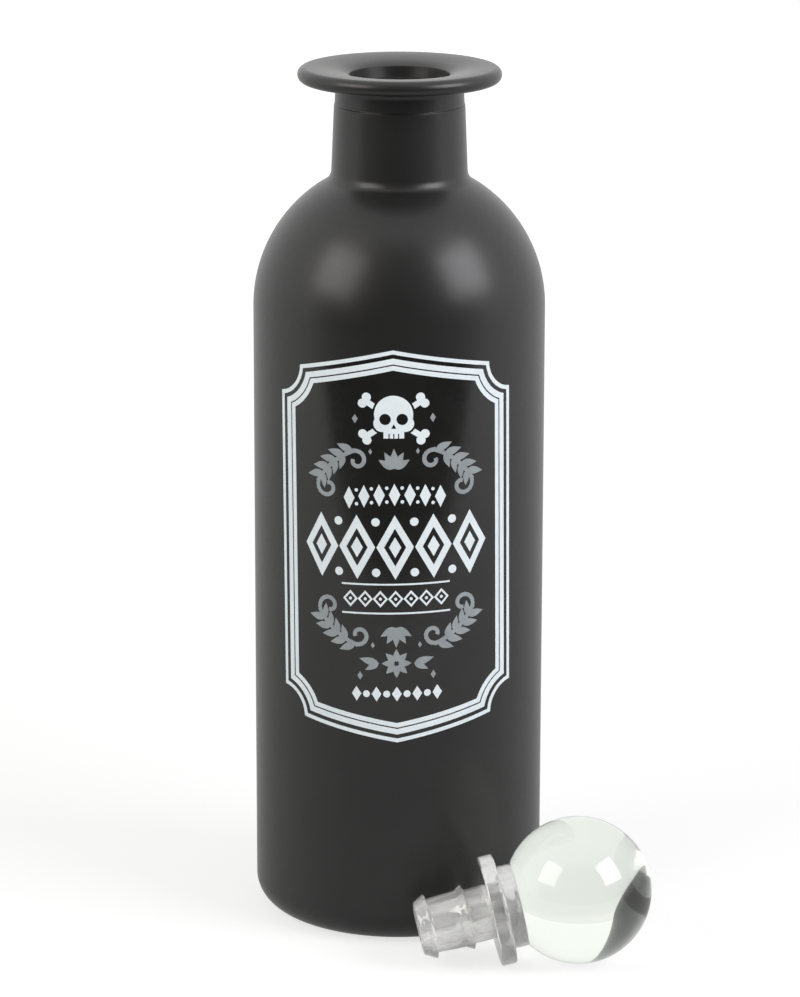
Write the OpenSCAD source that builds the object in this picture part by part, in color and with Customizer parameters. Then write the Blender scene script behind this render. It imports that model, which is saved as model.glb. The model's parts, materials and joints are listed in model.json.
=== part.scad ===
// Black glass poison bottle with a wrapped label, and its glass ball stopper laid beside it.
// Z = 0 is the table, the bottle's axis is the Z axis and the label faces -Y.

/* [Bottle] */
// Outer diameter of the body
body_d = 75; // [70:0.5:90]
// Height at which the straight wall turns into the dome
wall_top = 161.3; // [150:0.5:200]
// Radius of the rounded heel
heel_r = 8; // [6:0.5:11]
// Thickness of the glass in the body and the dome
wall = 3.5; // [2.5:0.1:4.5]
// Thickness of the glass floor in its middle
floor_t = 5; // [4:0.5:8]
// Height of the hollow under the floor
punt_h = 4; // [2:0.5:6]
// Width of the flat ring that the bottle stands on
foot_w = 5.5; // [4:0.5:8]

/* [Neck and lip] */
// Diameter of the neck where it leaves the dome
neck_d_low = 35; // [32:0.5:38]
// Diameter of the neck under the lip
neck_d_top = 33; // [30:0.5:35]
// Length of the neck, from the dome to the underside of the lip
neck_l = 24.6; // [20:0.1:40]
// Radius of the blend between dome and neck
shoulder_fillet = 3.5; // [2:0.1:6]
// Height of the mould seam below the underside of the lip
seam_drop = 5.5; // [4:0.5:10]
// Step of the mould seam
seam_step = 0.2; // [0.05:0.01:0.3]
// Diameter of the lip
lip_d = 52; // [48:0.5:60]
// Thickness of the lip, which has a full round edge
lip_t = 3.9; // [3:0.1:6]
// Radius of the dish that hollows the lip's top
dish_r = 39; // [30:1:80]
// Diameter at which the dish turns into the funnel
funnel_d = 32; // [30:0.5:36]
// Radius of the funnel's round, down to the mouth
funnel_r = 12; // [9:0.5:20]
// Diameter of the mouth, a crisp edge where the funnel ends
mouth_d = 25.7; // [23:0.1:28]
// Diameter of the throat that the stopper seals
throat_d = 16.4; // [15:0.1:19]

/* [Stopper] */
// Diameter of the glass ball
ball_d = 37.6; // [34:0.1:44]
// Diameter of the seal's boss, and of the flat ground on the ball for it
boss_d = 21.4; // [18:0.1:24]
// Length of the boss between the ball and the flange
boss_l = 3.95; // [2:0.05:6]
// Diameter of the flange that rests on the lip
flange_d = 28.5; // [27:0.1:32]
// Thickness of the flange
flange_t = 3.95; // [2.5:0.05:5]
// Diameter of the hollow tube
tube_d = 14; // [12:0.1:15]
// Wall thickness of the tube
tube_wall = 1.6; // [1:0.1:2.5]
// Length of the tube below the flange
tube_l = 18.6; // [16:0.1:24]
// How far the fins stand wider than the throat, in diameter
fin_squeeze = 0.3; // [0.1:0.05:0.6]
// Length of each fin's taper
fin_l = 2.4; // [1.5:0.1:3]
// Distance between the sharp edges of the two fins
fin_pitch = 9.7; // [6:0.1:12]
// Clear distance on the table between the ball and the bottle
stopper_gap = 9; // [5:0.1:40]
// Direction in which the ball lies from the bottle's axis
stopper_side = -44; // [-60:0.1:-30]
// Turn of the stopper's axis on the table
stopper_turn = 8; // [-5:0.1:12]

/* [Label] */
// Width of the label along the curve of the glass
label_w = 65.2; // [50:0.1:76]
// Height of the label between its two points
label_h = 102.4; // [80:0.5:110]
// Height of the label's centre above the table
label_z = 106.5; // [95:0.1:110]
// Rise of the label's points above its corners
roof_h = 5.1; // [3:0.1:8]
// Radius of the scoops in the label's corners
scoop_r = 7.5; // [5:0.1:9]
// Lean of the label's upright lines
label_tilt = 0.75; // [0:0.05:1.5]
// Slant of the label's level lines
label_slant = 1.5; // [0:0.05:2]
// Thickness of the label film
film_t = 0.12; // [0.08:0.01:0.2]
// Thickness of the raised print
ink_t = 0.06; // [0.05:0.01:0.1]
// Width of the outer frame line
line_outer = 1; // [0.6:0.05:1.5]
// Dark gap between the outer line and the band
gap_outer = 1.05; // [0.5:0.05:1.5]
// Width of the frame band
line_band = 1.45; // [0.8:0.05:2]
// Hairline gap between the band and the inner line
gap_hair = 0.35; // [0.2:0.01:0.6]
// Width of the inner frame line
line_inner = 1.2; // [0.6:0.05:1.5]

/* [Hidden] */
$fn = 180;

// How far two shapes of one solid run into each other, and how far a blend reaches into the wall.
lap = 0.5;
blend_root = 4;

body_r = body_d / 2;
inner_r = body_r - wall;
foot_r = body_r - heel_r;
punt_r = foot_r - foot_w;
punt_sphere = (punt_r * punt_r + punt_h * punt_h) / (2 * punt_h);
floor_z = punt_h + floor_t;
inner_heel = max(heel_r - wall / 2, 2);

neck_low = neck_d_low / 2;
neck_top = neck_d_top / 2;
neck_z = wall_top + sqrt(body_r * body_r - neck_low * neck_low);
lip_under = neck_z + neck_l;
lip_top = lip_under + lip_t;
neck_slope = (neck_top - neck_low) / neck_l;
neck_cant = sqrt(1 + neck_slope * neck_slope);
seam_z = lip_under - seam_drop;
lip_fillet = 2.5;
lip_r = lip_d / 2;
mouth_r = mouth_d / 2;
throat_r = throat_d / 2;

// The lip's top is a wide dish, whose inner part rounds down into the mouth.
crown_r = lip_r - lip_t / 2;
funnel_start = funnel_d / 2;
dish_sin = (crown_r - funnel_start) / dish_r;
dish_z = lip_top - dish_r;
funnel_x = funnel_start + funnel_r * dish_sin;
funnel_z = dish_z + (dish_r - funnel_r) * sqrt(1 - dish_sin * dish_sin);
mouth_z = funnel_z + sqrt(pow(funnel_r, 2) - pow(funnel_x - mouth_r, 2));

// Below the mouth, its wall narrows to a seat, and a short cone leads into the throat.
seat_drop = 2.9;
seat_in = 1;
seat_cone = 2.4;
throat_z = mouth_z - seat_drop - seat_cone;

ball_r = ball_d / 2;
boss_r = boss_d / 2;
flange_r = flange_d / 2;
tube_r = tube_d / 2;
fin_r = throat_r + fin_squeeze / 2;
flat_z = sqrt(ball_r * ball_r - boss_r * boss_r);
flange_top = flat_z + boss_l;
flange_low = flange_top + flange_t;
tip_z = flange_low + tube_l;
tip_round = 0.7;
flange_round = 0.5;
fin_edge = 0.2;
fin_back = 0.6;

// The stopper lies on its ball and on the flange's lower edge.
lie_l = flange_low - flange_round;
lie_r = flange_r - flange_round;
lie_tilt = asin((ball_r - flange_round) / sqrt(lie_l * lie_l + lie_r * lie_r)) - atan2(lie_r, lie_l);
lie_dist = body_r + ball_r + stopper_gap;
lie_x = lie_dist * cos(stopper_side);
lie_y = lie_dist * sin(stopper_side);

// The scoops' centres stand off the label's corners by this much.
scoop_out = 0.6;
scoop_up = 0.1;

// The artwork is drawn for a label of this size, and is scaled as a whole to fit the real one.
art_w = 65;
art_h = 102.4;
art_scale = min(label_w / art_w, label_h / art_h);
film_r = body_r + film_t;
ink_r = film_r + ink_t;
wrap_deg = 180 / (PI * film_r);

in_band = line_outer + gap_outer;
in_line = in_band + line_band + gap_hair;

// Skull and crossed bones.
emblem_z = 33.6;
emblem_gap = 0.55;
skull_r = 4.9;
skull_up = 1.1;
cheek_r = 2.1;
cheek_x = 3;
cheek_z = -1.2;
jaw_w = 5.2;
jaw_z = -5;
eye_r = 1.45;
eye_x = 2.15;
eye_z = -0.1;
nose_w = 1.3;
nose_low = -2.5;
nose_high = -1.3;
tooth_pitch = 1.2;
tooth_gap = 0.3;
tooth_h = 1.2;
bone_turn = 33;
bone_l = 17.2;
bone_w = 1.5;
knob_r = 1.15;
knob_x = 8.7;
knob_z = 0.95;

// Vines: an arc with a volute at each end and leaves on both sides.
vine_c = [3, 6.5];
vine_r = 20.2;
vine_from = 68;
vine_to = 32;
vine_t = 1.1;
vine_lap = 2;
vine_steps = 10;
volute_high = 2.6;
volute_low = 3;
volute_eye = 0.9;
volute_turn = 310;
volute_steps = 14;
leaf_steps = 6;
leaf_belly = 0.75;
leaf_rows = 5;
leaf_step = 7.4;
leaf_splay = 43;
leaf_out = [4.6, 2];
leaf_in = [4, 1.7];

// Palmettes, flower and sparks. Each spark is a place across, a place up and a width.
palmette_z = 20.8;
palmette_leaf = [5.2, 2];
palmette_droop = 0.67;
palmette_fan = 30;
flower_z = 30.2;
petal_out = 0.5;
petal_step = 45;
petal = [3.3, 1.7];
spray_x = 4.5;
spray_leaf = [5.2, 2];
spray_small = [4, 1.6];
spray_lift = 14;
spray_fall = 26;
spark_high = [[9.9, emblem_z, 1.5], [6, 25.2, 1]];
spark_low = [[6, -25.4, 1], [9.4, -33.5, 1.4]];
spark_tall = 1.6;

// Rows of lozenges and dots. A lozenge is given by its width and height.
arch_z = 14;
arch_pitch = 3.9;
arch_fall = 0.1;
arch_lozenge = [2.9, 5.8];
arch_dot = 0.45;
arch_dot_z = 1.8;
band_z = 0.3;
band_pitch = 9.8;
band_lozenge = [9.5, 16.8];
band_inner = [5.6, 9.9];
band_heart = [3.1, 5.4];
band_dot = 1.1;
band_dot_z = 6.6;
rule_z = [-9.4, -17];
rule_half = 14;
rule_t = 0.45;
rule_steps = 6;
chain_pitch = 3.9;
chain_lozenge = [3.9, 4.4];
chain_inner = [2.6, 2.9];
chain_dot = 0.4;
foot_row_z = -38.3;
foot_row_pitch = 2.6;
foot_lozenge = [2.5, 3.9];
foot_dot = 0.9;
dot_sides = 16;

// Points along the frame: one side of its roof, and one scoop.
roof_steps = 5;
scoop_steps = 8;

function neck_x(z) = neck_low + neck_slope * (z - neck_z);

// A point on the label, along the curve and up, seen straight from the front.
function flat(p) = [film_r * sin(p[0] * wrap_deg), p[1]];
function tilted(p) = [
    p[0] * cos(label_slant) - p[1] * sin(label_tilt),
    p[0] * sin(label_slant) + p[1] * cos(label_tilt)
];
function label_point(p) = flat(tilted(p));
function art_point(p) = label_point(art_scale * p);

function line_points(a, b, n) = [for (i = [0 : n - 1]) a + (b - a) * i / n];

// One quarter of the frame, moved in by d: roof line, scooped corner, side.
function frame_quarter(d) =
    let (
        half_w = label_w / 2,
        half_h = label_h / 2,
        corner_x = half_w - scoop_r + scoop_out,
        roof_slope = roof_h / corner_x,
        roof_top = half_h - d * sqrt(1 + roof_slope * roof_slope),
        cx = corner_x + scoop_r,
        cz = half_h - roof_h + scoop_up,
        r = scoop_r + d,
        b = -cx - roof_slope * (roof_top - cz),
        a = 1 + roof_slope * roof_slope,
        c = cx * cx + (roof_top - cz) * (roof_top - cz) - r * r,
        roof_end = (-b - sqrt(b * b - a * c)) / a,
        a0 = atan2(roof_top - roof_slope * roof_end - cz, roof_end - cx),
        start = a0 < 0 ? a0 + 360 : a0,
        stop = 270 - asin((cx - half_w + d) / r),
        roof = line_points([0, roof_top], [roof_end, roof_top - roof_slope * roof_end], roof_steps),
        scoop = [for (i = [0 : scoop_steps]) let (t = start + (stop - start) * i / scoop_steps)
            [cx + r * cos(t), cz + r * sin(t)]]
    )
    concat(roof, scoop);

function flipped(pts, sx, sz) = [for (i = [len(pts) - 1 : -1 : 0]) [pts[i][0] * sx, pts[i][1] * sz]];
function skip_ends(pts) = [for (i = [1 : len(pts) - 2]) pts[i]];
function frame_points(d) =
    let (
        q = frame_quarter(d),
        right = concat(q, flipped(q, 1, -1))
    )
    concat(right, skip_ends(flipped(right, -1, 1)));

// A vine's band along a spiral about c, from radius r0 to r1 and from angle a0 to a1.
function spiral(c, r0, r1, a0, a1, n) =
    let (
        at = function(t, s) on_circle(c, r0 + (r1 - r0) * t + s * vine_t / 2, a0 + (a1 - a0) * t)
    )
    concat([for (i = [0 : n]) at(i / n, 1)], [for (i = [n : -1 : 0]) at(i / n, -1)]);

// A pointed leaf that starts at p.
function leaf(p, turn, size) =
    let (
        at = function(t, s) let (
            x = size[0] * t,
            y = s * size[1] / 2 * sin(180 * pow(t, leaf_belly))
        ) [p[0] + x * cos(turn) - y * sin(turn), p[1] + x * sin(turn) + y * cos(turn)]
    )
    concat(
        [for (i = [0 : leaf_steps]) at(i / leaf_steps, 1)],
        [for (i = [leaf_steps - 1 : -1 : 1]) at(i / leaf_steps, -1)]
    );

function lozenge(c, size) = [
    [c[0] - size[0] / 2, c[1]], [c[0], c[1] + size[1] / 2],
    [c[0] + size[0] / 2, c[1]], [c[0], c[1] - size[1] / 2]
];

// A disc with few points, for print away from the label's middle.
function dot(c, r) = [for (i = [0 : dot_sides - 1]) on_circle(c, r, 360 * i / dot_sides)];

function mirrored(polys, sx, sz) = [for (p = polys) [for (q = p) [q[0] * sx, q[1] * sz]]];

function on_circle(c, r, a) = [c[0] + r * cos(a), c[1] + r * sin(a)];

// One side of a scrolling vine: the vine, a volute inside each end, and leaves along it.
function vine_side() =
    let (
        high = on_circle(vine_c, vine_r - volute_high, vine_from),
        low = on_circle(vine_c, vine_r - volute_low, vine_to)
    )
    concat(
        [
            spiral(vine_c, vine_r, vine_r, vine_from + vine_lap, vine_to - vine_lap, vine_steps),
            spiral(high, volute_high, volute_eye, vine_from, vine_from + volute_turn, volute_steps),
            spiral(low, volute_low, volute_eye, vine_to, vine_to - volute_turn, volute_steps)
        ],
        [for (i = [0 : leaf_rows - 1]) let (a = vine_from - i * leaf_step)
            leaf(on_circle(vine_c, vine_r, a), a - 90 + leaf_splay, leaf_out)],
        [for (i = [1 : leaf_rows - 1]) let (a = vine_from - i * leaf_step)
            leaf(on_circle(vine_c, vine_r, a), a - 90 - leaf_splay, leaf_in)]
    );

// Wraps a flat drawing round the glass between two radii.
module wrapped(r0, r1) {
    intersection() {
        translate([0, 0, label_z - label_h]) difference() {
            cylinder(r = r1, h = 2 * label_h);
            translate([0, 0, -lap]) cylinder(r = r0, h = 2 * label_h + 2 * lap);
        }
        translate([0, 0, label_z]) rotate([90, 0, 0]) linear_extrude(height = body_d) children();
    }
}

module print() {
    wrapped(film_r, ink_r) children();
}

module drawn(polys) {
    for (p = polys) polygon([for (q = p) art_point(q)]);
}

// A motif small enough to be drawn flat, placed at art position (0, z).
module motif_at(z) {
    translate(art_point([0, z])) rotate(label_tilt) scale(art_scale) children();
}

module frame_line(outer, inner) {
    print() difference() {
        polygon([for (p = frame_points(outer)) label_point(p)]);
        polygon([for (p = frame_points(inner)) label_point(p)]);
    }
}

module fillet_patch(points, c, r) {
    difference() {
        polygon(points);
        translate(c) circle(r = r);
    }
}

module dome_blend() {
    a = neck_low - neck_slope * (neck_z - wall_top) + shoulder_fillet * neck_cant;
    reach = body_r + shoulder_fillet;
    root = sqrt(a * a * neck_slope * neck_slope - neck_cant * neck_cant * (a * a - reach * reach));
    rise = (root - a * neck_slope) / (neck_cant * neck_cant);
    c = [a + neck_slope * rise, wall_top + rise];
    on_dome = [c[0] * body_r / reach, wall_top + rise * body_r / reach];
    on_neck = [c[0] - shoulder_fillet / neck_cant, c[1] + neck_slope * shoulder_fillet / neck_cant];
    inside = neck_low - blend_root;
    root_points = [[inside, on_neck[1]], [inside, neck_z - blend_root]];
    fillet_patch(concat([on_dome, c, on_neck], root_points), c, shoulder_fillet);
}

module lip_blend() {
    z = lip_under - lip_fillet;
    c = [neck_x(z) - seam_step + lip_fillet * neck_cant, z];
    inside = neck_top - blend_root;
    up = lip_under + lap;
    fillet_patch([c, [c[0], up], [inside, up], [inside, z]], c, lip_fillet);
}

module outer_profile() {
    intersection() {
        union() {
            translate([0, heel_r]) square([body_r, wall_top - heel_r]);
            square([foot_r, heel_r + lap]);
            translate([foot_r, heel_r]) circle(r = heel_r);
            translate([0, wall_top]) circle(r = body_r);
        }
        square([body_r, wall_top + body_r]);
    }
    polygon([
        [0, wall_top], [neck_low, wall_top], [neck_low, neck_z], [neck_x(seam_z), seam_z],
        [neck_x(seam_z) - seam_step, seam_z], [neck_top - seam_step, lip_under + lap], [0, lip_under + lap]
    ]);
    dome_blend();
    lip_blend();
    translate([0, lip_under]) square([lip_r - lip_t / 2, lip_t]);
    translate([lip_r - lip_t / 2, lip_under + lip_t / 2]) circle(r = lip_t / 2);
}

module inner_profile() {
    intersection() {
        union() {
            translate([0, floor_z + inner_heel]) square([inner_r, wall_top - floor_z - inner_heel]);
            translate([0, floor_z]) square([inner_r - inner_heel, inner_heel + lap]);
            translate([inner_r - inner_heel, floor_z + inner_heel]) circle(r = inner_heel);
            translate([0, wall_top]) circle(r = inner_r);
        }
        square([inner_r, wall_top + inner_r]);
    }
    translate([0, wall_top]) square([throat_r, throat_z - wall_top + lap]);
    polygon([
        [0, throat_z], [throat_r, throat_z], [mouth_r - seat_in, throat_z + seat_cone],
        [mouth_r, mouth_z], [mouth_r, mouth_z + lap], [0, mouth_z + lap]
    ]);
    difference() {
        translate([0, mouth_z]) square([crown_r, lip_top + lap - mouth_z]);
        intersection() {
            translate([crown_r, dish_z]) circle(r = dish_r);
            translate([funnel_start, mouth_z - lap]) square(dish_r);
        }
        intersection() {
            translate([funnel_x, funnel_z]) circle(r = funnel_r);
            translate([mouth_r, mouth_z - lap]) square(dish_r);
        }
    }
}

module bottle_glass() {
    color([0.13, 0.13, 0.13])
    rotate_extrude() difference() {
        outer_profile();
        inner_profile();
        translate([0, punt_h - punt_sphere]) intersection() {
            circle(r = punt_sphere);
            square([punt_sphere, punt_sphere]);
        }
    }
}

module label_film() {
    color([0.07, 0.07, 0.07])
    wrapped(body_r, film_r) polygon([for (p = frame_points(0)) label_point(p)]);
}

module frame_outer_line() {
    color([0.9, 0.93, 0.95])
    frame_line(0, line_outer);
}

module frame_band() {
    color([0.9, 0.93, 0.95])
    frame_line(in_band, in_band + line_band);
}

module frame_inner_line() {
    color([0.9, 0.93, 0.95])
    frame_line(in_line, in_line + line_inner);
}

module skull_outline(grow) {
    translate([0, skull_up]) circle(r = skull_r + grow);
    for (s = [-1, 1]) translate([s * cheek_x, cheek_z]) circle(r = cheek_r + grow);
    translate([-jaw_w / 2 - grow, jaw_z - grow]) square([jaw_w + 2 * grow, -jaw_z]);
}

module bone(turn) {
    rotate(turn) {
        translate([-bone_l / 2, -bone_w / 2]) square([bone_l, bone_w]);
        for (x = [-1, 1]) for (y = [-1, 1]) translate([x * knob_x, y * knob_z]) circle(r = knob_r);
    }
}

module crossbones() {
    color([0.9, 0.93, 0.95])
    print() motif_at(emblem_z) difference() {
        union() {
            bone(bone_turn);
            bone(-bone_turn);
        }
        skull_outline(emblem_gap);
    }
}

module skull() {
    color([0.9, 0.93, 0.95])
    print() motif_at(emblem_z) difference() {
        skull_outline(0);
        for (s = [-1, 1]) translate([s * eye_x, eye_z]) circle(r = eye_r);
        polygon([[-nose_w / 2, nose_low], [0, nose_high], [nose_w / 2, nose_low]]);
        for (i = [-1 : 1]) translate([i * tooth_pitch - tooth_gap / 2, jaw_z - lap])
            square([tooth_gap, tooth_h + lap]);
    }
}

module spark_marks() {
    color([0.62, 0.66, 0.67])
    print() drawn([
        for (s = [-1, 1]) for (q = concat(spark_high, spark_low))
            lozenge([s * q[0], q[1]], [q[2], q[2] * spark_tall])
    ]);
}

module upper_scrolls() {
    color([0.55, 0.59, 0.6])
    print() drawn(concat(vine_side(), mirrored(vine_side(), -1, 1)));
}

module lower_scrolls() {
    color([0.55, 0.59, 0.6])
    print() drawn(concat(mirrored(vine_side(), 1, -1), mirrored(vine_side(), -1, -1)));
}

// Five leaves in a fan, the outer ones a little shorter.
module palmette(up) {
    print() drawn([for (i = [-2 : 2])
        let (size = palmette_leaf - [palmette_droop * abs(i) / 2, 0])
        leaf([0, up * palmette_z], up * 90 + i * palmette_fan, size)
    ]);
}

module upper_palmette() {
    color([0.55, 0.59, 0.6])
    palmette(1);
}

module lower_palmette() {
    color([0.55, 0.59, 0.6])
    palmette(-1);
}

// A flower of eight petals between two sprays of leaves.
module rosette() {
    color([0.6, 0.64, 0.65])
    print() drawn(concat(
        [for (t = [0 : petal_step : 359]) leaf(on_circle([0, -flower_z], petal_out, t), t, petal)],
        [
            leaf([spray_x, -flower_z], spray_lift, spray_leaf),
            leaf([-spray_x, -flower_z], 180 - spray_lift, spray_leaf),
            leaf([spray_x, -flower_z], -spray_fall, spray_small),
            leaf([-spray_x, -flower_z], 180 + spray_fall, spray_small)
        ]
    ));
}

// Seven lozenges along an arch, with a pair of dots between each two.
function arch(x, z) = [x, arch_z + z - arch_fall * x * x / (arch_pitch * arch_pitch)];

module upper_bead_row() {
    color([0.9, 0.93, 0.95])
    print() drawn(concat(
        [for (i = [-3 : 3]) lozenge(arch(i * arch_pitch, 0), arch_lozenge)],
        [for (i = [-3 : 2]) for (s = [-1, 1]) dot(arch((i + 0.5) * arch_pitch, s * arch_dot_z), arch_dot)]
    ));
}

module diamond_band() {
    color([0.9, 0.93, 0.95])
    print() {
        difference() {
            drawn([for (i = [-2 : 2]) lozenge([i * band_pitch, band_z], band_lozenge)]);
            drawn([for (i = [-2 : 2]) lozenge([i * band_pitch, band_z], band_inner)]);
        }
        drawn([for (i = [-2 : 2]) lozenge([i * band_pitch, band_z], band_heart)]);
        drawn([for (i = [-2 : 1]) for (s = [-1, 1])
            dot([(i + 0.5) * band_pitch, band_z + s * band_dot_z], band_dot)]);
    }
}

module rule_pair() {
    color([0.8, 0.83, 0.85])
    print() drawn([for (z = rule_z) concat(
        line_points([-rule_half, z - rule_t / 2], [rule_half, z - rule_t / 2], rule_steps),
        [[rule_half, z - rule_t / 2]],
        line_points([rule_half, z + rule_t / 2], [-rule_half, z + rule_t / 2], rule_steps),
        [[-rule_half, z + rule_t / 2]]
    )]);
}

module chain_row() {
    z = (rule_z[0] + rule_z[1]) / 2;
    color([0.9, 0.93, 0.95])
    print() {
        difference() {
            drawn([for (i = [-3 : 3]) lozenge([i * chain_pitch, z], chain_lozenge)]);
            drawn([for (i = [-3 : 3]) lozenge([i * chain_pitch, z], chain_inner)]);
        }
        drawn([for (i = [-3 : 3]) dot([i * chain_pitch, z], chain_dot)]);
    }
}

module lower_bead_row() {
    color([0.9, 0.93, 0.95])
    print() drawn(concat(
        [for (i = [-4 : 2 : 4]) lozenge([i * foot_row_pitch, foot_row_z], foot_lozenge)],
        [for (i = [-3 : 2 : 3]) dot([i * foot_row_pitch, foot_row_z], foot_dot)]
    ));
}

// The stopper is built round its ball's centre, with the seal pointing down.
module laid() {
    translate([lie_x, lie_y, ball_r]) rotate([0, 90 - lie_tilt, stopper_turn]) children();
}

module stopper_ball() {
    color([0.8, 0.9, 0.85, 0.5])
    laid() difference() {
        sphere(r = ball_r);
        translate([0, 0, -flat_z - ball_r]) cylinder(r = ball_r, h = ball_r);
    }
}

// A fin's outline, up its taper and over its blunted edge.
function fin(z) = [
    [tube_r, z - fin_l], [fin_r, z - fin_edge], [fin_r, z],
    [fin_r - fin_edge / 2, z + fin_edge / 2], [tube_r, z + fin_back]
];

module seal_outline() {
    low_fin = -tip_z + fin_l + tip_round;
    high_fin = low_fin + fin_pitch;
    translate([0, -flange_top - flange_t / 2]) square([boss_r, boss_l + flange_t / 2]);
    translate([0, -flange_low + flange_round]) square([flange_r, flange_t - 2 * flange_round]);
    translate([0, -flange_low]) square([flange_r - flange_round, flange_t]);
    for (z = [flange_round, flange_t - flange_round])
        translate([flange_r - flange_round, -flange_low + z]) circle(r = flange_round);
    polygon(concat(
        [[0, low_fin - fin_l]], fin(low_fin), fin(high_fin),
        [[tube_r, -flange_low + lap], [0, -flange_low + lap]]
    ));
    translate([0, -tip_z]) square([tube_r - tip_round, tip_round + lap]);
    translate([tube_r - tip_round, -tip_z + tip_round]) circle(r = tip_round);
}

module stopper_seal() {
    color([0.9, 0.93, 0.93, 0.5])
    laid() rotate_extrude() difference() {
        seal_outline();
        translate([0, -tip_z - lap]) square([tube_r - tube_wall, tube_l + lap]);
    }
}

bottle_glass();
label_film();
frame_outer_line();
frame_band();
frame_inner_line();
crossbones();
skull();
spark_marks();
upper_scrolls();
upper_palmette();
upper_bead_row();
diamond_band();
rule_pair();
chain_row();
lower_scrolls();
lower_palmette();
rosette();
lower_bead_row();
stopper_ball();
stopper_seal();
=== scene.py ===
"""Looks of the poison bottle: satin black glass, wrapped label, clear ball stopper."""
import json
import math

import bpy
from mathutils import Matrix, Vector


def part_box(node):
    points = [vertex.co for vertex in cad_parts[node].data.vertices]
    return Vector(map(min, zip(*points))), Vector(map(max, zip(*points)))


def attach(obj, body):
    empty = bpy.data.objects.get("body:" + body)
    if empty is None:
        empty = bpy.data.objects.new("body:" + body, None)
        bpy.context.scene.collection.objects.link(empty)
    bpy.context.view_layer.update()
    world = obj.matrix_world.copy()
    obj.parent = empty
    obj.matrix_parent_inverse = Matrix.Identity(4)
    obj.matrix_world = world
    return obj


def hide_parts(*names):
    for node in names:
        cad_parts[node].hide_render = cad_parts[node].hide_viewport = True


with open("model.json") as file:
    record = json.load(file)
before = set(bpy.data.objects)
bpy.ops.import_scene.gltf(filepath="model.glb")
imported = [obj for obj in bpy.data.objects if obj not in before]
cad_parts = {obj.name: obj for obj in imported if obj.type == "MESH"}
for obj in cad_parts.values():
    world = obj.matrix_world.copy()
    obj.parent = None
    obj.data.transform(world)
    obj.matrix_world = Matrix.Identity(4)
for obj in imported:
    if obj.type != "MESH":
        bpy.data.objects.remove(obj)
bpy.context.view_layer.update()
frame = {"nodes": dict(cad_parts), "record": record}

MM = 0.001

# Camera, fitted to the photograph's outline: focal length in pixels of a 997-pixel side, place in
# metres, pitch and roll in radians.
FRAME_HIGH_PX = 997
FOCAL_PX = 4304.8
CAMERA_BACK = 1.0828
CAMERA_SIDE = 0.0003
CAMERA_HEIGHT = 0.39573
CAMERA_AZIMUTH = math.radians(1.36)
CAMERA_PITCH = 0.2583
CAMERA_ROLL = 0.002
SENSOR_MM = 36
CLIP_START = 0.01
CLIP_END = 50

# Bottle, in millimetres. Its width and height come from the frame.
glass_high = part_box("bottle_glass")[1]
BODY_R = glass_high[0] / MM
LIP_TOP = glass_high[2] / MM
WALL_TOP = 161.3
WALL = 3.5
HEEL_R = 8
FOOT_W = 5.5
PUNT_H = 4
FLOOR_T = 5
NECK_LOW = 17.5
NECK_TOP = 16.5
SHOULDER_FILLET = 3.5
SEAM_DROP = 5.5
SEAM_STEP = 0.2
LIP_R = 26
LIP_T = 3.9
LIP_FILLET = 2.5
DISH_R = 39
FUNNEL_START = 16
FUNNEL_R = 12
MOUTH_R = 12.85
SEAT_DROP = 2.9
SEAT_IN = 1
SEAT_CONE = 2.4
THROAT_R = 8.2

# Stopper: ball, boss, flange, tube and fins. A hair's gap keeps the boss off the ball's flat.
BALL_R = 18.8
BOSS_R = 10.7
BOSS_L = 3.95
FLANGE_R = 14.25
FLANGE_T = 3.95
FLANGE_ROUND = 0.5
TUBE_R = 7
TUBE_WALL = 1.6
TUBE_L = 18.6
TIP_ROUND = 0.7
FIN_R = 8.35
FIN_L = 2.4
FIN_PITCH = 9.7
FIN_ROUND = 0.15
BALL_BEVEL = 0.25
BOSS_ROUND = 0.3
FLANGE_FILLET = 0.4
BORE_ROUND = 0.2
BORE_END_ROUND = 0.5
BOSS_GAP = 0.04
STOPPER_AWAY = 9
STOPPER_SIDE = math.radians(-44)
STOPPER_TURN = math.radians(8)

# Label.
LABEL_W = 65.2
LABEL_H = 102.4
LABEL_Z = 106.5
ROOF_H = 5.1
SCOOP_R = 7.5
SCOOP_OUT = 0.6
SCOOP_UP = 0.1
LABEL_TILT = math.radians(0.75)
LABEL_SLANT = math.radians(1.5)
FILM_T = 0.12
FILM_BACK = 0.005
FILM_CREASE = math.radians(40)

# Small edges, as steps across and up or down from a corner.
PUNT_EDGE = ((0.15, 0.02), (0.5, 0))
SEAM_RISES = (0.1, 0.4)
MOUTH_EDGE = ((0.01, 0.04), (0.06, 0.15), (0.2, 0.6))
MOUTH_EDGE_TURN = 0.6
FIN_START = ((0, 0.9), (0.05, 0.62))
FIN_SLOPE_START = (0.06, 0.3)
FIN_SLOPE_END = 0.1

# Meshes: points on arcs and edges, segments of the turned surfaces, and the distance from an edge
# of the ring that keeps its shading crisp. Round forms start at an angle just beside their pole,
# and the ball just beside its flat.
ARC_STEPS = 24
SMALL_ARC_STEPS = 12
WALL_STEPS = 30
DOME_STEPS = 48
BALL_STEPS = 110
ROOF_STEPS = 40
FILM_ROWS = 24
GLASS_SEGMENTS = 256
SEAL_SEGMENTS = 192
HOLD = 1
INNER_RING = 2
POLE = 89
BESIDE_FLAT = 1

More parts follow.
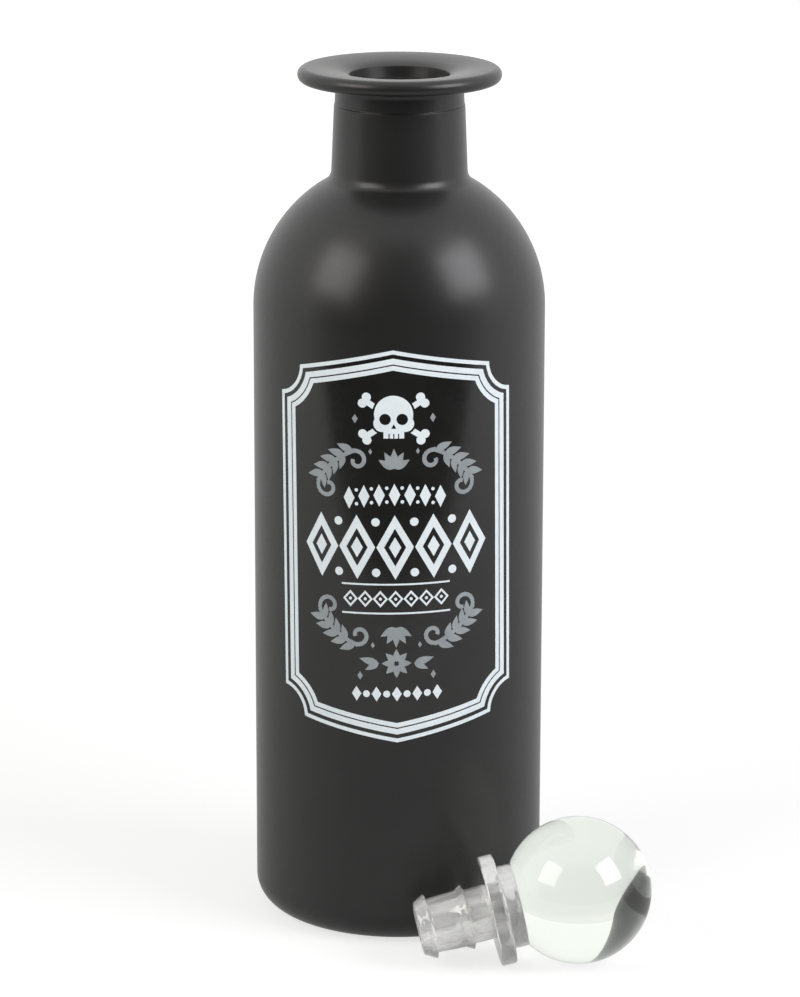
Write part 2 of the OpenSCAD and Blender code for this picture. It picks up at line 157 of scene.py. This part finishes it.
# Materials. A pair gives the two ends of a slow change over the surface. Noise is given by its
# features per metre and its detail, and a bump by its strength and its height in metres.
SATIN_MOTTLE = (60, 4)
SATIN_TONES = ((0.0055, 0.005, 0.0048), (0.0085, 0.008, 0.0077))
SATIN_GRAIN = (900, 3)
SATIN_ROUGHNESS = (0.58, 0.66)
SATIN_BUMP = (0.1, 0.00003)
SATIN_SOCKETS = {
    "IOR": 1.5,
    "Specular IOR Level": 0.2,
    "Coat Roughness": 0.31,
    "Sheen Weight": 0.35,
    "Sheen Roughness": 0.2,
}
OUTER_COAT = 0.8
THROAT_COAT = 0.2
FILM_MOTTLE = (90, 4)
FILM_TONES = ((0.006, 0.0055, 0.005), (0.009, 0.0085, 0.008))
FILM_GRAIN = (500, 3)
FILM_ROUGHNESS = (0.12, 0.17)
FILM_SOCKETS = {"IOR": 1.58}
INK_MOTTLE = (250, 4)
WHITE_TONES = ((0.82, 0.9, 0.94), (0.89, 0.96, 0.99))
GREY_TONES = ((0.29, 0.32, 0.335), (0.35, 0.385, 0.4))
INK_GRAIN = (1500, 2)
INK_ROUGHNESS = (0.32, 0.4)
GLASS_WIPE = (40, 3)
GLASS_ROUGHNESS = (0.0, 0.012)
GLASS_SOCKETS = {"Base Color": (0.945, 0.99, 0.92, 1), "IOR": 1.5, "Transmission Weight": 1}
PLASTIC_CLEARNESS = (0.66, 0.9)
PLASTIC_ROUGHNESS = (0.02, 0.1)
PLASTIC_BUMP = (0.2, 0.0002)
PLASTIC_SOCKETS = {
    "Base Color": (1, 1, 0.99, 1),
    "IOR": 1.47,
    "Coat Weight": 1,
    "Coat Roughness": 0.04,
}
NOISE_ROUGHNESS = 0.6
RAMP_SPAN = (0.35, 0.65)

# Size of the seal's flow streaks and turning marks in metres: across its axis twice, and along it.
FLOW_SIZE = (0.003, 0.003, 0.009)
MARK_SIZE = (0.0015, 0.0015, 0.0006)
STREAK_DETAIL = 1.5

# Lamps: azimuth from the label's side and elevation in degrees, radiance and colour. Their distance
# and size are in metres.
LAMPS = {
    "softbox_left": (-54, 32, 4, (1, 0.97, 0.92)),
    "softbox_right": (62, 32, 6, (0.97, 0.97, 1)),
}
LAMP_DISTANCE = 1.3
LAMP_SIZE = 0.75

# Studio. The mirrored backdrop fades into the dark room over a span of a direction's Y with a part
# of its Z. The table's front edge, its half width and its drop below the foot are in metres.
BACKDROP_FADE = (-0.52, -0.25)
CEILING_PART = 0.15
DARK_ROOM = 0.14
AMBIENT = 0.5
TABLE_FRONT = 0.36
TABLE_HALF = 3
FLOOR_DROP = 0.0001
FLOOR_PAINT = (0.36, 0.36, 0.36, 1)

# The floor is lifted towards white by an amount near the bottle and one far away, given for each
# kind of ray, and changes between them over a span of distances. Rays that pass through glass count
# as glossy too, so the last pair comes on top of the one before.
LIFT_SPAN = (0.2, 1.1)
FLOOR_LIFTS = {
    "Is Camera Ray": (0.69, 0.9),
    "Is Glossy Ray": (0.32, 0.65),
    "Is Transmission Ray": (0.26, 0.22),
}


def make_camera():
    """The camera stands where the photograph's outline puts it."""
    data = bpy.data.cameras.new("camera")
    data.sensor_fit = "AUTO"
    data.sensor_width = SENSOR_MM
    data.lens = SENSOR_MM * FOCAL_PX / FRAME_HIGH_PX
    data.clip_start = CLIP_START
    data.clip_end = CLIP_END
    camera = bpy.data.objects.new("camera", data)
    bpy.context.scene.collection.objects.link(camera)
    ahead = Vector((0, math.cos(CAMERA_PITCH), -math.sin(CAMERA_PITCH)))
    level = Vector((1, 0, 0))
    over = level.cross(ahead)
    right = level * math.cos(CAMERA_ROLL) + over * math.sin(CAMERA_ROLL)
    up = over * math.cos(CAMERA_ROLL) - level * math.sin(CAMERA_ROLL)
    turn = Matrix((right, up, -ahead)).transposed().to_4x4()
    round_bottle = Matrix.Rotation(CAMERA_AZIMUTH, 4, "Z")
    stand = Matrix.Translation((CAMERA_SIDE, -CAMERA_BACK, CAMERA_HEIGHT))
    camera.matrix_world = round_bottle @ stand @ turn
    bpy.context.scene.camera = camera


def arc(centre, radius, start, stop, steps):
    """Points on an arc in the profile's plane; angles in degrees, from the radius axis."""
    out = []
    for i in range(steps + 1):
        a = math.radians(start + (stop - start) * i / steps)
        out.append((centre[0] + radius * math.cos(a), centre[1] + radius * math.sin(a)))
    return out


def line(a, b, steps):
    """Points from a to b, with a and without b."""
    return [
        (a[0] + (b[0] - a[0]) * i / steps, a[1] + (b[1] - a[1]) * i / steps)
        for i in range(steps)
    ]


def add_mesh(name, verts, faces, body, material):
    """A smooth-shaded piece that rides on a body."""
    mesh = bpy.data.meshes.new(name)
    mesh.from_pydata(verts, [], faces)
    mesh.validate()
    mesh.update()
    for face in mesh.polygons:
        face.use_smooth = True
    mesh.materials.append(material)
    piece = bpy.data.objects.new(name, mesh)
    bpy.context.scene.collection.objects.link(piece)
    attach(piece, body)
    return piece


def lathe(profile, segments, place=Matrix.Identity(4)):
    """Turns a profile of (radius, height) in millimetres round Z. Its two ends lie on the axis."""
    verts = [place @ Vector((0, 0, profile[0][1] * MM))]
    rings = profile[1:-1]
    for r, z in rings:
        for k in range(segments):
            a = 2 * math.pi * k / segments
            verts.append(place @ Vector((r * math.cos(a) * MM, r * math.sin(a) * MM, z * MM)))
    verts.append(place @ Vector((0, 0, profile[-1][1] * MM)))
    last = len(verts) - 1
    faces = []
    for k in range(segments):
        n = (k + 1) % segments
        faces.append((0, 1 + n, 1 + k))
        for i in range(len(rings) - 1):
            a = 1 + i * segments
            b = a + segments
            faces.append((a + k, a + n, b + n, b + k))
        a = 1 + (len(rings) - 1) * segments
        faces.append((a + k, a + n, last))
    return verts, faces


def neck_ends():
    """Heights of the neck's foot on the dome and of the lip's underside."""
    return WALL_TOP + math.sqrt(BODY_R ** 2 - NECK_LOW ** 2), LIP_TOP - LIP_T


def neck_x(z):
    """Radius of the neck's taper at a height."""
    neck_z, lip_under = neck_ends()
    return NECK_LOW + (NECK_TOP - NECK_LOW) * (z - neck_z) / (lip_under - neck_z)


def foot_and_wall():
    """From the middle of the hollow foot, round the heel and up the wall."""
    foot_r = BODY_R - HEEL_R
    punt_r = foot_r - FOOT_W
    punt_sphere = (punt_r ** 2 + PUNT_H ** 2) / (2 * PUNT_H)
    punt_half = math.degrees(math.asin(punt_r / punt_sphere))
    points = [(0, PUNT_H)]
    points += arc((0, PUNT_H - punt_sphere), punt_sphere, POLE, 90 - punt_half, SMALL_ARC_STEPS)
    points += [(punt_r + out, up) for out, up in PUNT_EDGE]
    points += line((punt_r + HOLD, 0), (foot_r, 0), 3)
    points += arc((foot_r, HEEL_R), HEEL_R, -90, 0, ARC_STEPS)
    return points + line((BODY_R, HEEL_R + HOLD), (BODY_R, WALL_TOP), WALL_STEPS)


def dome_and_neck():
    """Over the dome, up the neck past its mould seam and out under the lip."""
    neck_z, lip_under = neck_ends()
    slope = (NECK_TOP - NECK_LOW) / (lip_under - neck_z)
    cant = math.sqrt(1 + slope ** 2)
    # The fillet's centre lies on the neck's line moved out by the fillet, and on a circle round the
    # dome's centre.
    foot = NECK_LOW - slope * (neck_z - WALL_TOP) + SHOULDER_FILLET * cant
    reach = BODY_R + SHOULDER_FILLET
    root = math.sqrt((foot * slope) ** 2 - cant ** 2 * (foot ** 2 - reach ** 2))
    rise = (root - foot * slope) / cant ** 2
    centre = (foot + slope * rise, WALL_TOP + rise)
    dome_end = math.degrees(math.atan2(rise, centre[0]))
    points = arc((0, WALL_TOP), BODY_R, 0, dome_end, DOME_STEPS)
    fillet_end = -180 + math.degrees(math.atan(-slope))
    points += arc(centre, SHOULDER_FILLET, dome_end - 180, fillet_end, SMALL_ARC_STEPS)[1:]

    seam_z = lip_under - SEAM_DROP
    seam_r = neck_x(seam_z)
    ledge_r = 2 * SEAM_STEP
    start_z = centre[1] + HOLD
    points += line((neck_x(start_z), start_z), (seam_r, seam_z - ledge_r), SMALL_ARC_STEPS)
    points += arc((seam_r - ledge_r, seam_z - ledge_r), ledge_r, 0, 60, 6)
    points += [(seam_r - SEAM_STEP, seam_z + up) for up in SEAM_RISES]
    fillet_z = lip_under - LIP_FILLET
    fillet_c = (neck_x(fillet_z) - SEAM_STEP + LIP_FILLET * cant, fillet_z)
    points += arc(fillet_c, LIP_FILLET, 180, 90, 10)
    return points + line((fillet_c[0] + HOLD, lip_under), (LIP_R - LIP_T / 2, lip_under), 4)


def lip_and_throat():
    """Round the lip, down its dish into the mouth, over the seat and into the throat."""
    nose = (LIP_R - LIP_T / 2, LIP_TOP - LIP_T / 2)
    points = arc(nose, LIP_T / 2, -90, 90, ARC_STEPS)
    dish_turn = math.degrees(math.asin((nose[0] - FUNNEL_START) / DISH_R))
    funnel_c = (
        FUNNEL_START + FUNNEL_R * math.sin(math.radians(dish_turn)),
        LIP_TOP - DISH_R + (DISH_R - FUNNEL_R) * math.cos(math.radians(dish_turn)),
    )
    funnel_end = math.degrees(math.asin((funnel_c[0] - MOUTH_R) / FUNNEL_R))
    mouth_z = funnel_c[1] + FUNNEL_R * math.cos(math.radians(funnel_end))
    points += arc((nose[0], LIP_TOP - DISH_R), DISH_R, 90, 90 + dish_turn, ARC_STEPS)[1:]
    stop = 90 + funnel_end - MOUTH_EDGE_TURN
    points += arc(funnel_c, FUNNEL_R, 90 + dish_turn, stop, SMALL_ARC_STEPS)[1:]
    seat = (MOUTH_R - SEAT_IN, mouth_z - SEAT_DROP)
    throat_z = seat[1] - SEAT_CONE
    edge = [(MOUTH_R - inward, mouth_z - down) for inward, down in MOUTH_EDGE]
    points += edge[:-1] + line(edge[-1], seat, 4)
    points += [seat, (THROAT_R, throat_z)]
    return points + line((THROAT_R, throat_z - HOLD), (THROAT_R, inside_top()), 6)


def inside_top():
    """Height at which the throat opens into the dome's inside."""
    return WALL_TOP + math.sqrt((BODY_R - WALL) ** 2 - THROAT_R ** 2)


def inside():
    """Down the inside from the throat to the middle of the floor."""
    inner_r = BODY_R - WALL
    bore_turn = math.degrees(math.acos(THROAT_R / inner_r))
    points = arc((0, WALL_TOP), inner_r, bore_turn, 0, ARC_STEPS)
    floor_z = PUNT_H + FLOOR_T
    inner_heel = HEEL_R - WALL / 2
    heel_c = (inner_r - inner_heel, floor_z + inner_heel)
    points += arc(heel_c, inner_heel, 0, -90, SMALL_ARC_STEPS)
    return points + [(heel_c[0] / 2, floor_z), (0, floor_z)]


def bottle_profile():
    """Round the whole section: under the floor, up the outside, over the lip and down the inside."""
    return foot_and_wall() + dome_and_neck() + lip_and_throat() + inside()


def label_edge():
    """The right half of the label's upper edge, from its point to its side."""
    corner = LABEL_W / 2 - SCOOP_R + SCOOP_OUT
    peak = LABEL_H / 2
    centre = (corner + SCOOP_R, peak - ROOF_H + SCOOP_UP)
    start = math.degrees(math.asin(SCOOP_UP / SCOOP_R)) + 180
    stop = 270 - math.degrees(math.asin((centre[0] - LABEL_W / 2) / SCOOP_R))
    roof = line((0, peak), (corner, peak - ROOF_H), ROOF_STEPS)
    return roof + arc(centre, SCOOP_R, start, stop, ARC_STEPS)


def wrap(u, v, r):
    """A place on the label, tilted and wrapped round the glass at radius r."""
    across = u * math.cos(LABEL_SLANT) - v * math.sin(LABEL_TILT)
    up = u * math.sin(LABEL_SLANT) + v * math.cos(LABEL_TILT)
    turn = across / (BODY_R + FILM_T)
    return Vector((r * math.sin(turn) * MM, -r * math.cos(turn) * MM, (LABEL_Z + up) * MM))


def film_mesh():
    """The film's front and back in columns up its height, and the rim that joins them."""
    right = label_edge()
    edge = [(-u, top) for u, top in right[:0:-1]] + right
    verts = []
    for r in (BODY_R + FILM_T, BODY_R + FILM_BACK):
        for u, top in edge:
            for j in range(FILM_ROWS + 1):
                verts.append(wrap(u, -top + 2 * top * j / FILM_ROWS, r))
    per = FILM_ROWS + 1
    columns = len(edge) - 1
    back = len(edge) * per
    faces = []
    for i in range(columns):
        foot = i * per
        head = foot + FILM_ROWS
        for a in range(foot, head):
            b = back + a
            faces.append((a, a + per, a + per + 1, a + 1))
            faces.append((b, b + 1, b + per + 1, b + per))
        faces.append((foot, back + foot, back + foot + per, foot + per))
        faces.append((head, head + per, back + head + per, back + head))
    for a in range(FILM_ROWS):
        faces.append((a, a + 1, back + a + 1, back + a))
    last = columns * per
    for a in range(last, last + FILM_ROWS):
        faces.append((a, back + a, back + a + 1, a + 1))
    return verts, faces


def make_film(material):
    """The label's film as one thin sheet whose edges stay crisp."""
    verts, faces = film_mesh()
    piece = add_mesh("film_sheet", verts, faces, "bottle", material)
    piece.data.set_sharp_from_angle(angle=FILM_CREASE)
    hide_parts("label_film")


def flat_depth():
    """Distance of the ball's ground flat from its centre."""
    return math.sqrt(BALL_R ** 2 - BOSS_R ** 2)


def stopper_place():
    """From the stopper's own axis, with the seal pointing down, to where it lies."""
    lie_l = flat_depth() + BOSS_L + FLANGE_T - FLANGE_ROUND
    lie_r = FLANGE_R - FLANGE_ROUND
    tilt = math.asin((BALL_R - FLANGE_ROUND) / math.hypot(lie_l, lie_r)) - math.atan2(lie_r, lie_l)
    away = (BODY_R + BALL_R + STOPPER_AWAY) * MM
    spot = (away * math.cos(STOPPER_SIDE), away * math.sin(STOPPER_SIDE), BALL_R * MM)
    turn = Matrix.Rotation(STOPPER_TURN, 4, "Z")
    lean = Matrix.Rotation(math.pi / 2 - tilt, 4, "Y")
    return Matrix.Translation(spot) @ turn @ lean


def ball_profile():
    """The ground flat with its bevel, and round the ball to its pole."""
    flat_z = -flat_depth()
    flat_r = BOSS_R - BALL_BEVEL
    start = math.degrees(math.atan2(flat_z, BOSS_R))
    points = [(0, flat_z)]
    points += line((INNER_RING, flat_z), (flat_r, flat_z), 6)
    points += [(flat_r, flat_z), (BOSS_R - BALL_BEVEL / 3, flat_z + BALL_BEVEL / 4)]
    points += arc((0, 0), BALL_R, start + BESIDE_FLAT, POLE, BALL_STEPS)
    return points + [(0, BALL_R)]


def fin_profile(z):
    """One fin: a short rise from the tube, its rounded rim at height z, and the slope to the tip."""
    points = [(TUBE_R + out, z + up) for out, up in FIN_START]
    points += arc((FIN_R - FIN_ROUND, z), FIN_ROUND, 60, -20, 4)
    top = (FIN_R - FIN_SLOPE_START[0], z - FIN_SLOPE_START[1])
    return points + line(top, (TUBE_R + FIN_SLOPE_END, z - FIN_L + FIN_SLOPE_END), 5)


def seal_profile():
    """Boss, flange and finned tube from the ball down, and up again inside the open bore."""
    flat_z = -flat_depth()
    boss_top = flat_z - BOSS_GAP
    boss_edge = BOSS_R - BOSS_ROUND
    flange_top = flat_z - BOSS_L
    flange_low = flange_top - FLANGE_T
    flange_edge = FLANGE_R - FLANGE_ROUND
    tip = flange_low - TUBE_L
    points = [(0, boss_top)]
    points += line((INNER_RING, boss_top), (boss_edge, boss_top), 4)
    points += arc((boss_edge, boss_top - BOSS_ROUND), BOSS_ROUND, 90, 0, 4)
    fillet_c = (BOSS_R + FLANGE_FILLET, flange_top + FLANGE_FILLET)
    points += line((BOSS_R, flat_z - HOLD), (BOSS_R, fillet_c[1]), 3)
    points += arc(fillet_c, FLANGE_FILLET, 180, 270, 4)
    points += line((BOSS_R + 2 * FLANGE_FILLET, flange_top), (flange_edge, flange_top), 3)
    points += arc((flange_edge, flange_top - FLANGE_ROUND), FLANGE_ROUND, 90, 0, 6)
    points += arc((flange_edge, flange_low + FLANGE_ROUND), FLANGE_ROUND, 0, -90, 6)
    fillet_c = (TUBE_R + FLANGE_FILLET, flange_low - FLANGE_FILLET)
    points += line((FLANGE_R - HOLD, flange_low), (fillet_c[0], flange_low), 4)
    points += arc(fillet_c, FLANGE_FILLET, 90, 180, 4)
    low_fin = tip + FIN_L + TIP_ROUND
    points += fin_profile(low_fin + FIN_PITCH) + fin_profile(low_fin)
    points += arc((TUBE_R - TIP_ROUND, tip + TIP_ROUND), TIP_ROUND, 0, -90, 8)
    bore = TUBE_R - TUBE_WALL
    points += arc((bore + BORE_ROUND, tip + BORE_ROUND), BORE_ROUND, -90, -180, 3)
    end_c = (bore - BORE_END_ROUND, flange_low - BORE_END_ROUND)
    points += line((bore, tip + HOLD), (bore, end_c[1]), ARC_STEPS)
    points += arc(end_c, BORE_END_ROUND, 0, 90, 4)
    points += line((bore - HOLD, flange_low), (HOLD, flange_low), 4)
    return points + [(0, flange_low)]


def node_material(name):
    """A new material, its node tree and its shader."""
    material = bpy.data.materials.new(name)
    material.use_nodes = True
    tree = material.node_tree
    return material, tree, tree.nodes["Principled BSDF"]


def set_sockets(node, values):
    """Sets plain values on a node's own sockets."""
    for socket, value in values.items():
        node.inputs[socket].default_value = value


def feed(tree, value, socket):
    """Gives a socket another socket's value, or a plain number."""
    if isinstance(value, bpy.types.NodeSocket):
        tree.links.new(value, socket)
    else:
        socket.default_value = value


def add_noise(tree, scale, detail):
    """Noise laid out in the frame's metres."""
    place = tree.nodes.new("ShaderNodeTexCoord")
    noise = tree.nodes.new("ShaderNodeTexNoise")
    set_sockets(noise, {"Scale": scale, "Detail": detail, "Roughness": NOISE_ROUGHNESS})
    tree.links.new(place.outputs["Object"], noise.inputs["Vector"])
    return noise


def add_streaks(tree, lie, size):
    """Noise laid along the stopper's own axis, with its size across and along it."""
    place = tree.nodes.new("ShaderNodeTexCoord")
    lay = tree.nodes.new("ShaderNodeMapping")
    lay.vector_type = "TEXTURE"
    set_sockets(lay, {"Location": lie.translation, "Rotation": lie.to_euler(), "Scale": size})
    tree.links.new(place.outputs["Object"], lay.inputs["Vector"])
    noise = tree.nodes.new("ShaderNodeTexNoise")
    set_sockets(noise, {"Scale": 1, "Detail": STREAK_DETAIL})
    tree.links.new(lay.outputs["Vector"], noise.inputs["Vector"])
    return noise


def vary(tree, noise, socket, low, high):
    """Lets a noise move a socket between two colours or two numbers."""
    ramp = tree.nodes.new("ShaderNodeValToRGB")
    for element, position, value in zip(ramp.color_ramp.elements, RAMP_SPAN, (low, high)):
        element.position = position
        element.color = (*value, 1) if isinstance(value, tuple) else (value, value, value, 1)
    tree.links.new(noise.outputs["Fac"], ramp.inputs["Fac"])
    tree.links.new(ramp.outputs["Color"], socket)


def add_bump(tree, noise, shader, strength, height):
    """Lets a noise raise the surface."""
    bump = tree.nodes.new("ShaderNodeBump")
    set_sockets(bump, {"Strength": strength, "Distance": height})
    tree.links.new(noise.outputs["Fac"], bump.inputs["Height"])
    tree.links.new(bump.outputs["Normal"], shader.inputs["Normal"])


def satin_black(name, coat):
    """Black glass with some satin coat: faint mottling, and a fine grain in the gloss."""
    material, tree, shader = node_material(name)
    vary(tree, add_noise(tree, *SATIN_MOTTLE), shader.inputs["Base Color"], *SATIN_TONES)
    grain = add_noise(tree, *SATIN_GRAIN)
    vary(tree, grain, shader.inputs["Roughness"], *SATIN_ROUGHNESS)
    add_bump(tree, grain, shader, *SATIN_BUMP)
    set_sockets(shader, SATIN_SOCKETS)
    set_sockets(shader, {"Coat Weight": coat})
    return material


def film_black():
    """Smoother black film."""
    material, tree, shader = node_material("film_black")
    vary(tree, add_noise(tree, *FILM_MOTTLE), shader.inputs["Base Color"], *FILM_TONES)
    vary(tree, add_noise(tree, *FILM_GRAIN), shader.inputs["Roughness"], *FILM_ROUGHNESS)
    set_sockets(shader, FILM_SOCKETS)
    return material


def print_ink(name, low, high):
    """Print with a slightly uneven cover."""
    material, tree, shader = node_material(name)
    vary(tree, add_noise(tree, *INK_MOTTLE), shader.inputs["Base Color"], low, high)
    vary(tree, add_noise(tree, *INK_GRAIN), shader.inputs["Roughness"], *INK_ROUGHNESS)
    return material


def clear_glass():
    """Polished glass with a faint green cast."""
    material, tree, shader = node_material("clear_glass")
    vary(tree, add_noise(tree, *GLASS_WIPE), shader.inputs["Roughness"], *GLASS_ROUGHNESS)
    set_sockets(shader, GLASS_SOCKETS)
    return material


def clear_plastic(lie):
    """Moulded clear plastic: faintly milky, with flow streaks along it and fine turning marks."""
    material, tree, shader = node_material("clear_plastic")
    flow = add_streaks(tree, lie, FLOW_SIZE)
    vary(tree, flow, shader.inputs["Transmission Weight"], *PLASTIC_CLEARNESS)
    add_bump(tree, flow, shader, *PLASTIC_BUMP)
    marks = add_streaks(tree, lie, MARK_SIZE)
    vary(tree, marks, shader.inputs["Roughness"], *PLASTIC_ROUGHNESS)
    set_sockets(shader, PLASTIC_SOCKETS)
    return material


def coat_inside(bottle, material):
    """Gives the glass inside the mouth, the neck and the top of the dome a material of its own."""
    bottle.data.materials.append(material)
    for face in bottle.data.polygons:
        spot = face.center / MM
        if math.hypot(spot.x, spot.y) < MOUTH_R and spot.z > WALL_TOP:
            face.material_index = 1


def repaint(node, material):
    """Gives a CAD node a finished material in all its slots."""
    piece = frame["nodes"][node]
    piece.data.materials.clear()
    piece.data.materials.append(material)
    for face in piece.data.polygons:
        face.material_index = 0


def add_math(tree, operation, *values):
    """A maths node fed with other sockets or plain numbers."""
    node = tree.nodes.new("ShaderNodeMath")
    node.operation = operation
    for value, socket in zip(values, node.inputs):
        feed(tree, value, socket)
    return node.outputs["Value"]


def add_fade(tree, value, span, ends):
    """Turns a value that crosses a span into one that moves softly between two ends."""
    fade = tree.nodes.new("ShaderNodeMapRange")
    fade.interpolation_type = "SMOOTHSTEP"
    set_sockets(fade, {"From Min": span[0], "From Max": span[1], "To Min": ends[0], "To Max": ends[1]})
    tree.links.new(value, fade.inputs["Value"])
    return fade.outputs["Result"]


def rays_that_see(tree, *kinds):
    """1 for rays of these kinds, such as Is Camera Ray, and 0 for the rest."""
    path = tree.nodes.new("ShaderNodeLightPath")
    seen = path.outputs[kinds[0]]
    for kind in kinds[1:]:
        seen = add_math(tree, "MAXIMUM", seen, path.outputs[kind])
    return seen


def white_light(tree, strength):
    """White light from the world."""
    light = tree.nodes.new("ShaderNodeBackground")
    light.inputs["Color"].default_value = (1, 1, 1, 1)
    feed(tree, strength, light.inputs["Strength"])
    return light.outputs["Background"]


def make_world():
    """White to the camera and through glass, darker on the label's side when mirrored, else soft."""
    world = bpy.data.worlds.new("studio")
    bpy.context.scene.world = world
    world.use_nodes = True
    tree = world.node_tree
    tree.nodes.clear()
    place = tree.nodes.new("ShaderNodeTexCoord")
    way = tree.nodes.new("ShaderNodeSeparateXYZ")
    tree.links.new(place.outputs["Generated"], way.inputs["Vector"])
    back_and_up = add_math(tree, "MULTIPLY_ADD", way.outputs["Z"], CEILING_PART, way.outputs["Y"])
    backdrop = white_light(tree, add_fade(tree, back_and_up, BACKDROP_FADE, (DARK_ROOM, 1)))
    mirrored = rays_that_see(tree, "Is Glossy Ray")
    shown = rays_that_see(tree, "Is Camera Ray", "Is Transmission Ray")
    surface = white_light(tree, AMBIENT)
    for seen, light in ((mirrored, backdrop), (shown, white_light(tree, 1))):
        mix = tree.nodes.new("ShaderNodeMixShader")
        for value, socket in zip((seen, surface, light), mix.inputs):
            tree.links.new(value, socket)
        surface = mix.outputs["Shader"]
    out = tree.nodes.new("ShaderNodeOutputWorld")
    tree.links.new(surface, out.inputs["Surface"])


def add_lift(tree, away, seen, strengths):
    """Emission for the rays that are picked, from a strength near the bottle to one far away."""
    strength = add_math(tree, "MULTIPLY", add_fade(tree, away, LIFT_SPAN, strengths), seen)
    glow = tree.nodes.new("ShaderNodeEmission")
    tree.links.new(strength, glow.inputs["Strength"])
    return glow.outputs["Emission"]


def floor_paint():
    """Pale paint with its lift towards white."""
    material = bpy.data.materials.new("floor_white")
    material.use_nodes = True
    tree = material.node_tree
    tree.nodes.clear()
    paint = tree.nodes.new("ShaderNodeBsdfDiffuse")
    paint.inputs["Color"].default_value = FLOOR_PAINT
    place = tree.nodes.new("ShaderNodeTexCoord")
    away = tree.nodes.new("ShaderNodeVectorMath")
    away.operation = "LENGTH"
    tree.links.new(place.outputs["Object"], away.inputs[0])
    surface = paint.outputs["BSDF"]
    for kind, strengths in FLOOR_LIFTS.items():
        both = tree.nodes.new("ShaderNodeAddShader")
        lift = add_lift(tree, away.outputs["Value"], rays_that_see(tree, kind), strengths)
        tree.links.new(surface, both.inputs[0])
        tree.links.new(lift, both.inputs[1])
        surface = both.outputs["Shader"]
    out = tree.nodes.new("ShaderNodeOutputMaterial")
    tree.links.new(surface, out.inputs["Surface"])
    return material


def make_floor():
    """A pale table top with a front edge, which reads white where no shadow falls."""
    corners = (
        (-TABLE_HALF, -TABLE_FRONT),
        (TABLE_HALF, -TABLE_FRONT),
        (TABLE_HALF, TABLE_HALF),
        (-TABLE_HALF, TABLE_HALF),
    )
    mesh = bpy.data.meshes.new("floor")
    mesh.from_pydata([(x, y, -FLOOR_DROP) for x, y in corners], [], [(0, 1, 2, 3)])
    mesh.materials.append(floor_paint())
    floor = bpy.data.objects.new("floor", mesh)
    bpy.context.scene.collection.objects.link(floor)


def make_softbox(name, azimuth, elevation, radiance, colour):
    """A square soft lamp aimed at the middle of the bottle."""
    az = math.radians(azimuth)
    el = math.radians(elevation)
    way = Vector((math.sin(az) * math.cos(el), -math.cos(az) * math.cos(el), math.sin(el)))
    data = bpy.data.lights.new(name, "AREA")
    data.shape = "SQUARE"
    data.size = LAMP_SIZE
    data.energy = radiance * math.pi * LAMP_SIZE ** 2
    data.color = colour
    lamp = bpy.data.objects.new(name, data)
    bpy.context.scene.collection.objects.link(lamp)
    lamp.location = Vector((0, 0, LIP_TOP * MM / 2)) + way * LAMP_DISTANCE
    lamp.rotation_euler = (-way).to_track_quat("-Z", "Y").to_euler()


make_camera()

verts, faces = lathe(bottle_profile(), GLASS_SEGMENTS)
bottle = add_mesh("bottle_body", verts, faces, "bottle", satin_black("satin_black_glass", OUTER_COAT))
coat_inside(bottle, satin_black("bare_black_glass", THROAT_COAT))
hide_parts("bottle_glass")

make_film(film_black())
inks = {
    "white_print": print_ink("white_ink", *WHITE_TONES),
    "grey_print": print_ink("grey_ink", *GREY_TONES),
}
for part in frame["record"]["subparts"]:
    if part["material_slot"] in inks:
        repaint(part["node"], inks[part["material_slot"]])

lie = stopper_place()
verts, faces = lathe(ball_profile(), GLASS_SEGMENTS, lie)
ball = add_mesh("ball_glass", verts, faces, "stopper", clear_glass())
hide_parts("stopper_ball")

# The seal's profile runs downwards, so its faces are turned over.
verts, faces = lathe(seal_profile(), SEAL_SEGMENTS, lie)
seal = add_mesh("seal_plastic", verts, [f[::-1] for f in faces], "stopper", clear_plastic(lie))
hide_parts("stopper_seal")

make_world()
make_floor()
for name, light in LAMPS.items():
    make_softbox(name, *light)

bpy.context.scene.view_settings.view_transform = "Standard"
